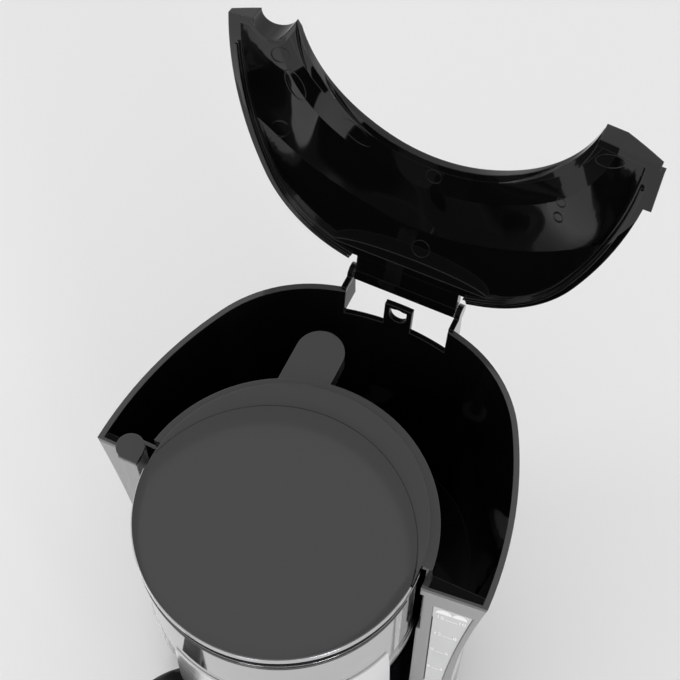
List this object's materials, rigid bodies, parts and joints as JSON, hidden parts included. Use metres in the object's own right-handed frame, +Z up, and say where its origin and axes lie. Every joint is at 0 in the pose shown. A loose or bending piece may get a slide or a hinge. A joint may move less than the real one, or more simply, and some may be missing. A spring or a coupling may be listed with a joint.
{
  "type": "drip coffee maker",
  "caption": "Drip coffee maker with a D-shaped water tank, an open hinged tank lid, a steel-clad swing-out filter holder and a glass carafe.",
  "frame": {"origin": "on the table top, below the axis of the brew head and carafe", "axes": "+X to the machine's right as seen from the front, +Y to the rear, +Z up"},
  "size_m": [0.218, 0.2888, 0.4606],
  "materials": {
    "black_shell": "deep gloss",
    "black_gloss": "high gloss",
    "silver_paint": "satin metallic paint",
    "polished_steel": "polished",
    "bright_trim": "mirror",
    "clear_window": "frosted acrylic",
    "black_matte": "matte",
    "filter_plastic": "satin",
    "grey_plastic": "satin",
    "rubber": "matte",
    "silicone": "translucent matte",
    "coated_plate": "non-stick coating",
    "heater_alloy": "cast",
    "steel": "plain",
    "carafe_glass": "clear",
    "lamp_red": "translucent"
  },
  "bodies": {
    "stand": {"water_tank": "black_shell", "rear_column": "black_shell", "right_front_panel": "silver_paint", "left_front_panel": "silver_paint", "gauge_window": "clear_window", "window_seal": "rubber", "brew_hood": "black_gloss", "brew_cover": "black_gloss", "trim_ring": "bright_trim", "riser_tube": "grey_plastic", "riser_grommet": "silicone", "spray_arm": "grey_plastic", "shower_head": "grey_plastic", "holder_hinge_pin": "steel", "lid_hinge_pin": "steel", "base_housing": "black_shell", "base_pan": "black_matte", "rubber_feet": "rubber", "base_screws": "steel", "hot_plate": "coated_plate", "plate_gasket": "silicone", "flow_heater": "heater_alloy", "heating_element": "steel", "heater_clamp": "steel", "clamp_nut": "steel", "thermostat": "steel", "thermal_fuses": "steel", "check_valve": "grey_plastic", "tank_strainer": "grey_plastic", "cold_water_hose": "silicone", "hot_water_hose": "silicone", "switch_bezel": "black_matte", "pilot_lens": "lamp_red", "cord_inlet": "rubber"},
    "tank_lid": {"tank_lid": "black_gloss"},
    "filter_holder": {"hinge_barrel": "silver_paint", "hinge_post_cap": "black_gloss", "holder_shell": "polished_steel", "holder_grip": "bright_trim", "holder_base_ring": "black_matte", "filter_holder": "filter_plastic", "filter_basket": "filter_plastic"},
    "drip_valve": {"drip_valve": "grey_plastic", "valve_washer": "silicone"},
    "carafe": {"carafe_glass": "carafe_glass", "carafe_collar": "polished_steel", "carafe_handle": "black_matte", "handle_screw": "steel"},
    "carafe_lid": {"carafe_lid": "black_matte"},
    "switch_rocker": {"switch_rocker": "black_gloss"}
  },
  "joints": [
    {"name": "lid_hinge", "type": "hinge", "parent": "stand", "child": "tank_lid", "pos_m": [0, 0.1503, 0.3127], "axis": [1, 0, 0], "range_deg": [0, 99.6]},
    {"name": "filter_swing", "type": "hinge", "parent": "stand", "child": "filter_holder", "pos_m": [-0.086, 0.0025, 0.275], "axis": [0, 0, -1], "range_deg": [0, 90]},
    {"name": "drip_valve_lift", "type": "slide", "parent": "filter_holder", "child": "drip_valve", "axis": [0, 0, 1], "range_m": [0, 0.004]},
    {"name": "carafe_slide", "type": "slide", "parent": "stand", "child": "carafe", "axis": [0, -1, 0], "range_m": [0, 0.18]},
    {"name": "carafe_lid_turn", "type": "hinge", "parent": "carafe", "child": "carafe_lid", "pos_m": [0, 0, 0.19], "axis": [0, 0, 1], "range_deg": [0, 60]},
    {"name": "switch_rock", "type": "hinge", "parent": "stand", "child": "switch_rocker", "pos_m": [0.086, 0.0095, 0.07], "axis": [-1, 0, 0], "range_deg": [0, 16]}
  ]
}
